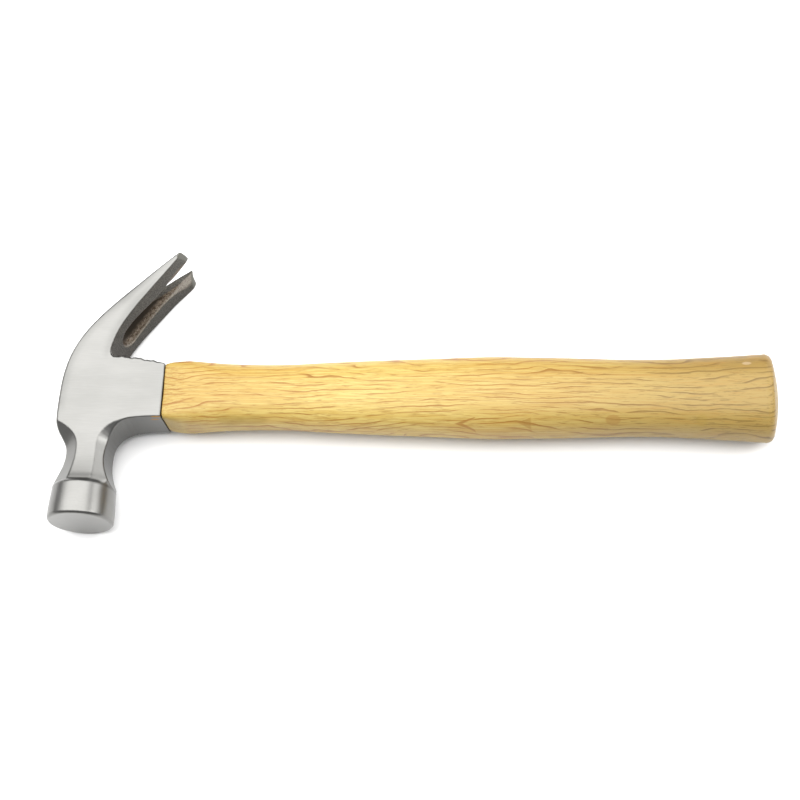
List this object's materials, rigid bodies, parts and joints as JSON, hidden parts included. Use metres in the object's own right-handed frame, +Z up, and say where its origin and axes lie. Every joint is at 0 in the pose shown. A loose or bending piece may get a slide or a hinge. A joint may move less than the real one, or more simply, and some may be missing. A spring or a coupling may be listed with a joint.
{
  "type": "claw hammer",
  "caption": "Claw hammer with a forged steel head, curved slotted claw, round poll with a flat face, and an oval wooden handle wedged in the eye, lying on its side.",
  "frame": {"origin": "under the middle of the hammer's box, on the surface that it lies on", "axes": "+X along the handle from the head to the butt, +Y across the head from the striking face towards the claw tips, +Z up out of the upper cheek"},
  "size_m": [0.3296, 0.1306, 0.0314],
  "materials": {
    "head_steel": "forged steel, cheeks and poll ground to a fine satin, the claw's inner face left dark from the forge",
    "handle_wood": "pale straight-grained hardwood under clear satin lacquer",
    "wedge_wood": "bare dark hardwood, sawn flush",
    "wedge_steel": "plain mild steel, ground flush"
  },
  "bodies": {
    "root": {"head": "head_steel", "handle": "handle_wood", "wooden_wedge": "wedge_wood", "steel_wedge_claw_side": "wedge_steel", "steel_wedge_poll_side": "wedge_steel"}
  },
  "joints": []
}
